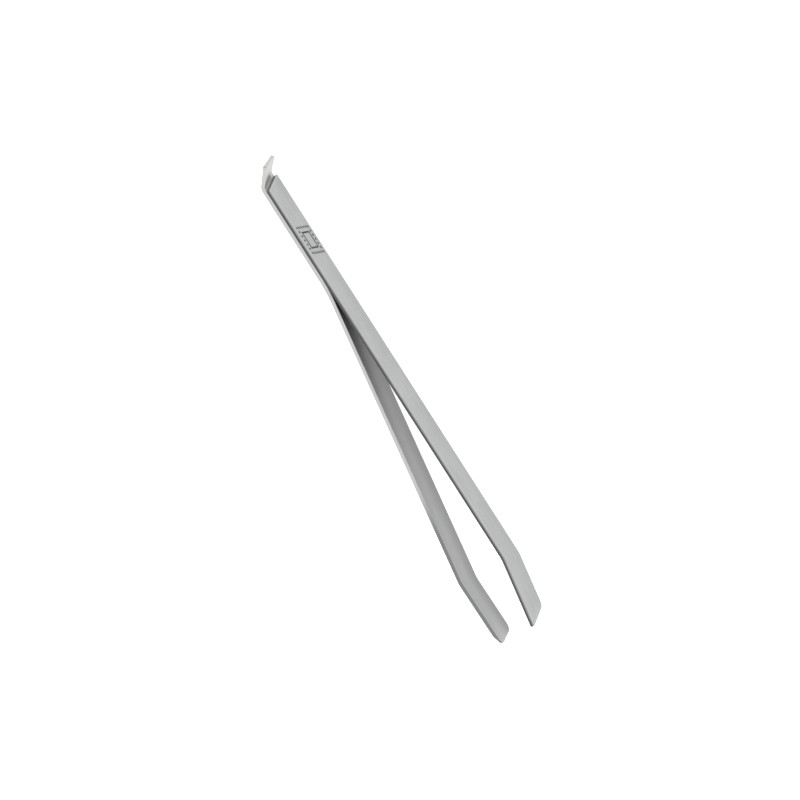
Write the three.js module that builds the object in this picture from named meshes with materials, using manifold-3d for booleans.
// Stamp tongs: two strips of spring steel welded together at the heel.
//
// The near blade is one straight strip whose tip is bent inwards. The far blade
// starts as a short tab that turns up past the end of the near blade, lies
// against the near blade along the heel, and is then bent away from it, so that
// the tips stand open. Both strips are parallelograms: their ends are cut on a
// slant, not square. Each blade is divided across its root into a heel piece
// and an arm, because that is where the spring steel flexes when it is squeezed.
//
// Millimetres. +X runs from the heel to the tips, +Y from the far blade to the
// near blade, and +Z across the width of the strips, which lie on their edges.

import * as THREE from 'three';
import { mergeVertices } from 'three/addons/utils/BufferGeometryUtils.js';
import Module from 'manifold-3d';

// ---------------------------------------------------------------- dimensions
const STRIP_WIDTH = 8.25;
const STRIP_THICKNESS = 0.87;
const EDGE_CHAMFER = 0.1;
const END_SLANT = 3.7;

const HEEL_LENGTH = 26.1;
const ARM_LENGTH = 70.8;
const NEAR_TIP_LENGTH = 16.3;
const FAR_TIP_LENGTH = 16.4;

const SPLAY_DEGREES = 9.0;
const SPLAY_BEND_RADIUS = 40;
const TIP_BEND_DEGREES = 10.0;
const TIP_BEND_RADIUS = 8;

const TAB_LENGTH = 5.4;
const TAB_END_SLANT = 3.0;
const TAB_HIGH_BEND_DEGREES = 44;
const TAB_LOW_BEND_DEGREES = 58;
const TAB_BEND_RADIUS = 1.2;
const TAB_BEND_OFFSET = 0.35;
const TAB_TAPER = 0.2;
const TAB_CORNER_REACH = 2.2;

const NEAR_TIP_LOW_RADIUS = 1.0;
const NEAR_TIP_HIGH_REACH = 0.5;
const FAR_TIP_SLANT = 3.0;
const FAR_TIP_LOW_RADIUS = 1.3;
const FAR_TIP_HIGH_REACH = 2.8;
const FAR_TIP_END_THICKNESS = 0.45;

const FLEX_LENGTH = 10.2;
const FLEX_GAP = 0.3;

const WELD_POSITIONS = [7.5, 19];
const WELD_RADIUS = 1.5;
const WELD_HALF_HEIGHT = 0.25;
const WELD_CLEARANCE = 0.05;
const WELD_SIDES = 24;

const BEND_STEPS = 8;
const CORNER_STEPS = 6;

// ------------------------------------------------------------ derived values
const TIP_BEND_AT = HEEL_LENGTH + ARM_LENGTH;
const FLEX_AT = HEEL_LENGTH + FLEX_LENGTH;

const toRadians = THREE.MathUtils.degToRad;

// ------------------------------------------------------------------ materials
const nearSteel = new THREE.MeshStandardMaterial({ color: 0xb7b9b8, roughness: 0.34, metalness: 1 });
const farSteel = new THREE.MeshStandardMaterial({ color: 0xb4b4b3, roughness: 0.36, metalness: 1 });
const weldSteel = new THREE.MeshStandardMaterial({ color: 0x8a8a88, roughness: 0.6, metalness: 1 });

// ---------------------------------------------------- the bent line of a blade

// A bend is spread evenly over an arc: centre is its middle along the strip,
// and angle is positive where it turns the strip inwards.
const spread = (centre, degrees, radius) => {
  const angle = toRadians(degrees);
  const half = Math.abs(angle) * radius / 2;
  return { start: centre - half, end: centre + half, angle };
};

const NEAR_BENDS = [spread(TIP_BEND_AT, TIP_BEND_DEGREES, TIP_BEND_RADIUS)];
const FAR_BENDS = [
  spread(HEEL_LENGTH, -SPLAY_DEGREES, SPLAY_BEND_RADIUS),
  spread(TIP_BEND_AT, TIP_BEND_DEGREES, TIP_BEND_RADIUS),
];

// The inner face's line at a length along the strip, with inwards as -y.
function alongLine(bends, length) {
  const place = { x: 0, y: 0, heading: 0 };
  let reached = 0;
  for (const bend of bends) {
    const straight = Math.min(length, bend.start) - reached;
    place.x += straight * Math.cos(place.heading);
    place.y -= straight * Math.sin(place.heading);
    if (length <= bend.start) {
      return place;
    }
    const arc = Math.min(length, bend.end) - bend.start;
    const turn = bend.angle * arc / (bend.end - bend.start);
    const radius = arc / turn;
    place.x += radius * (Math.sin(place.heading + turn) - Math.sin(place.heading));
    place.y += radius * (Math.cos(place.heading + turn) - Math.cos(place.heading));
    place.heading += turn;
    reached = bend.end;
    if (length <= bend.end) {
      return place;
    }
  }
  place.x += (length - reached) * Math.cos(place.heading);
  place.y -= (length - reached) * Math.sin(place.heading);
  return place;
}

// A point of a blade: length along the strip, height across it, and depth from
// the inner face towards the outer one. The side is 1 for near, -1 for far.
const formedPoint = (bends, side) => (length, height, depth) => {
  const place = alongLine(bends, length);
  const x = place.x + depth * Math.sin(place.heading);
  const y = place.y + depth * Math.cos(place.heading);
  return [x, side * y, height];
};

// The tab's bend line is parallel to the slanted end, so past that line a point
// swings up about it. The distance from the line is measured square to it. The
// tab is bent further at its low edge than at its high one.
const SLANT_LENGTH = Math.hypot(END_SLANT, STRIP_WIDTH);
const SLANT_COSINE = STRIP_WIDTH / SLANT_LENGTH;
const SLANT_SINE = END_SLANT / SLANT_LENGTH;

const between = (from, to, share) => from + (to - from) * share;

const tabBendAt = (height) => (
  toRadians(between(TAB_LOW_BEND_DEGREES, TAB_HIGH_BEND_DEGREES, height / STRIP_WIDTH))
);
const slantAt = (height) => -END_SLANT * (STRIP_WIDTH - height) / STRIP_WIDTH;

function tabPoint(length, height, depth) {
  const beyond = (slantAt(height) - TAB_BEND_OFFSET - length) * SLANT_COSINE;
  const turn = Math.min(beyond / TAB_BEND_RADIUS, tabBendAt(height));
  const straight = Math.max(beyond - tabBendAt(height) * TAB_BEND_RADIUS, 0);
  const radius = TAB_BEND_RADIUS + depth;
  const out = radius * Math.sin(turn) + straight * Math.cos(turn);
  const up = TAB_BEND_RADIUS - radius * Math.cos(turn) + straight * Math.sin(turn);
  const x = length + beyond * SLANT_COSINE - out * SLANT_COSINE;
  const z = height - beyond * SLANT_SINE + out * SLANT_SINE;
  return [x, up, z];
}

const farStraightPoint = formedPoint(FAR_BENDS, -1);

function farHeelPoint(length, height, depth) {
  const flat = length >= slantAt(height) - TAB_BEND_OFFSET;
  return flat ? farStraightPoint(length, height, depth) : tabPoint(length, height, depth);
}

// --------------------------------------------------------- meshing of a strip

// A station is one line across the strip, from its low end to its high end,
// each given as [length, height], with the strip's thickness there.
const station = (low, high, thickness = STRIP_THICKNESS) => ({ low, high, thickness });
const squareStation = (length) => station([length, 0], [length, STRIP_WIDTH]);
const slantedStation = (highLength) => (
  station([highLength - END_SLANT, 0], [highLength, STRIP_WIDTH])
);

const steps = (from, to, count) => (
  Array.from({ length: count + 1 }, (_, index) => between(from, to, index / count))
);

// Eight corners around the strip at one station, with chamfered long edges.
function sectionCorners({ low, high, thickness }) {
  const across = Math.hypot(high[0] - low[0], high[1] - low[1]);
  const inset = EDGE_CHAMFER / across;
  const shallow = EDGE_CHAMFER;
  const deep = thickness - EDGE_CHAMFER;
  const outline = [
    [0, shallow], [0, deep], [inset, thickness], [1 - inset, thickness],
    [1, deep], [1, shallow], [1 - inset, 0], [inset, 0],
  ];
  return outline.map(([share, depth]) => (
    [between(low[0], high[0], share), between(low[1], high[1], share), depth]
  ));
}

function stripGeometry(stations, pointOf, side) {
  const positions = [];
  for (const oneStation of stations) {
    for (const corner of sectionCorners(oneStation)) {
      positions.push(...pointOf(...corner));
    }
  }
  const corners = sectionCorners(stations[0]).length;
  const indices = [];
  const addTriangle = (a, b, c) => indices.push(...(side > 0 ? [a, c, b] : [a, b, c]));
  for (let row = 0; row + 1 < stations.length; row += 1) {
    for (let corner = 0; corner < corners; corner += 1) {
      const here = row * corners + corner;
      const beside = row * corners + (corner + 1) % corners;
      addTriangle(here, here + corners, beside);
      addTriangle(beside, here + corners, beside + corners);
    }
  }
  const last = (stations.length - 1) * corners;
  for (let corner = 1; corner + 1 < corners; corner += 1) {
    addTriangle(0, corner, corner + 1);
    addTriangle(last, last + corner + 1, last + corner);
  }
  const geometry = new THREE.BufferGeometry();
  geometry.setAttribute('position', new THREE.Float32BufferAttribute(positions, 3));
  geometry.setIndex(indices);
  return geometry;
}

// ------------------------------------------------------------ blade outlines

// A corner between two straight edges, rounded in one sweep. The points of the
// curve are [length, height]; before and after lead to its two ends.
function sweptCorner(corner, before, after) {
  return new THREE.QuadraticBezierCurve(
    new THREE.Vector2(corner[0] + before[0], corner[1] + before[1]),
    new THREE.Vector2(...corner),
    new THREE.Vector2(corner[0] + after[0], corner[1] + after[1]),
  );
}

// The slanted end at the tips: the high corner is swept away over the reach
// given, the low corner has a radius, and the strip is ground to endThickness.
function tipStations({ length, slant, lowRadius, highReach, endThickness }) {
  const lowCorner = length - slant;
  const cornerTurn = Math.PI / 2 - Math.atan2(slant, STRIP_WIDTH);
  const setback = lowRadius * Math.tan(cornerTurn / 2);
  const centre = [lowCorner - setback, lowRadius];
  const highCorner = sweptCorner(
    [length, STRIP_WIDTH],
    [-highReach, 0],
    [-highReach * Math.cos(cornerTurn), -highReach * Math.sin(cornerTurn)],
  );
  return steps(0, 1, CORNER_STEPS).map((share) => {
    const turn = cornerTurn * share;
    const low = [
      centre[0] + lowRadius * Math.sin(turn),
      centre[1] - lowRadius * Math.cos(turn),
    ];
    const high = highCorner.getPoint(share).toArray();
    return station(low, high, between(STRIP_THICKNESS, endThickness, share));
  });
}

// The tab: its low edge rises towards its free end, which slants less than the
// heel's end, and its low corner is rounded in one sweep.
function tabStations() {
  const lowAt = (highLength) => {
    const height = Math.max(-TAB_BEND_OFFSET - highLength, 0) * TAB_TAPER;
    return [highLength + slantAt(height), height];
  };
  const freeEnd = -TAB_BEND_OFFSET - TAB_LENGTH;
  const bendEnd = -TAB_BEND_OFFSET - tabBendAt(0) * TAB_BEND_RADIUS / SLANT_COSINE;
  const endCosine = STRIP_WIDTH / Math.hypot(TAB_END_SLANT, STRIP_WIDTH);
  const endSine = TAB_END_SLANT / Math.hypot(TAB_END_SLANT, STRIP_WIDTH);
  const lowLength = freeEnd - TAB_END_SLANT;
  const lowRise = (-END_SLANT - TAB_BEND_OFFSET - lowLength) * TAB_TAPER;
  const lowCorner = sweptCorner(
    [lowLength, lowRise],
    [TAB_CORNER_REACH, -TAB_CORNER_REACH * TAB_TAPER],
    [TAB_CORNER_REACH * endSine, TAB_CORNER_REACH * endCosine],
  );
  const rounded = steps(1, 0, CORNER_STEPS).map((share) => {
    const high = [freeEnd + TAB_CORNER_REACH * (1 - share), STRIP_WIDTH];
    return station(lowCorner.getPoint(share).toArray(), high);
  });
  const bend = steps(bendEnd, -TAB_BEND_OFFSET, BEND_STEPS).map((highLength) => (
    station(lowAt(highLength), [highLength, STRIP_WIDTH])
  ));
  return [...rounded, ...bend];
}

const bendStations = (bend) => (
  steps(bend.start, bend.end, BEND_STEPS).map((length) => squareStation(length))
);

const NEAR_TIP = {
  length: TIP_BEND_AT + NEAR_TIP_LENGTH,
  slant: END_SLANT,
  lowRadius: NEAR_TIP_LOW_RADIUS,
  highReach: NEAR_TIP_HIGH_REACH,
  endThickness: STRIP_THICKNESS,
};
const FAR_TIP = {
  length: TIP_BEND_AT + FAR_TIP_LENGTH,
  slant: FAR_TIP_SLANT,
  lowRadius: FAR_TIP_LOW_RADIUS,
  highReach: FAR_TIP_HIGH_REACH,
  endThickness: FAR_TIP_END_THICKNESS,
};

const armStations = (tipBend, tip) => [
  squareStation(FLEX_AT + FLEX_GAP / 2),
  ...bendStations(tipBend),
  ...tipStations(tip),
];

const heelEnd = squareStation(FLEX_AT - FLEX_GAP / 2);

// -------------------------------------------------------------------- booleans
const wasm = await Module();
wasm.setup();

function toSolid(geometry) {
  const bare = geometry.clone();
  bare.deleteAttribute('normal');
  bare.deleteAttribute('uv');
  const merged = mergeVertices(bare);
  return new wasm.Manifold(new wasm.Mesh({
    numProp: 3,
    vertProperties: new Float32Array(merged.attributes.position.array),
    triVerts: new Uint32Array(merged.index.array),
  }));
}

function toGeometry(solid) {
  const mesh = solid.getMesh();
  const geometry = new THREE.BufferGeometry();
  geometry.setAttribute('position', new THREE.BufferAttribute(mesh.vertProperties, 3));
  geometry.setIndex(new THREE.BufferAttribute(mesh.triVerts, 1));
  return geometry;
}

// A short disc whose axis is the Y axis, centred on one weld.
function discAt(position, radius, halfHeight) {
  const disc = new THREE.CylinderGeometry(radius, radius, 2 * halfHeight, WELD_SIDES);
  return disc.translate(position, 0, STRIP_WIDTH / 2);
}

// Each weld lies in a shallow pocket in the inner faces of both heels.
function withWeldPockets(geometry) {
  const pocket = (position) => (
    toSolid(discAt(position, WELD_RADIUS + WELD_CLEARANCE, WELD_HALF_HEIGHT + WELD_CLEARANCE))
  );
  const cut = WELD_POSITIONS.reduce((solid, position) => solid.subtract(pocket(position)), toSolid(geometry));
  return toGeometry(cut);
}

// ---------------------------------------------------------------------- pieces
const nearPoint = formedPoint(NEAR_BENDS, 1);

const nearHeelGeometry = () => withWeldPockets(
  stripGeometry([slantedStation(0), heelEnd], nearPoint, 1),
);

const farHeelGeometry = () => withWeldPockets(
  stripGeometry([...tabStations(), ...bendStations(FAR_BENDS[0]), heelEnd], farHeelPoint, -1),
);

const nearArmGeometry = () => stripGeometry(armStations(NEAR_BENDS[0], NEAR_TIP), nearPoint, 1);

const farArmGeometry = () => (
  stripGeometry(armStations(FAR_BENDS[1], FAR_TIP), farStraightPoint, -1)
);

function pieceMesh(name, geometry, material) {
  const mesh = new THREE.Mesh(geometry, material);
  mesh.name = name;
  return mesh;
}

// Brings the whole object to its frame: the bottom centre of its box is the
// origin. The shift is put into the geometry, so neighbouring faces still meet.
function settle(group) {
  const box = new THREE.Box3().setFromObject(group);
  const centre = box.getCenter(new THREE.Vector3());
  group.children.forEach((mesh) => mesh.geometry.translate(-centre.x, -centre.y, -box.min.z));
}

function buildTongs() {
  const tongs = new THREE.Group();
  tongs.add(pieceMesh('near_blade_heel', nearHeelGeometry(), nearSteel));
  tongs.add(pieceMesh('near_blade_arm', nearArmGeometry(), nearSteel.clone()));
  tongs.add(pieceMesh('far_blade_heel', farHeelGeometry(), farSteel));
  tongs.add(pieceMesh('far_blade_arm', farArmGeometry(), farSteel.clone()));
  WELD_POSITIONS.forEach((position, index) => {
    const weld = discAt(position, WELD_RADIUS, WELD_HALF_HEIGHT);
    tongs.add(pieceMesh(`weld_nugget_${index + 1}`, weld, weldSteel.clone()));
  });
  settle(tongs);
  return tongs;
}

export default buildTongs();
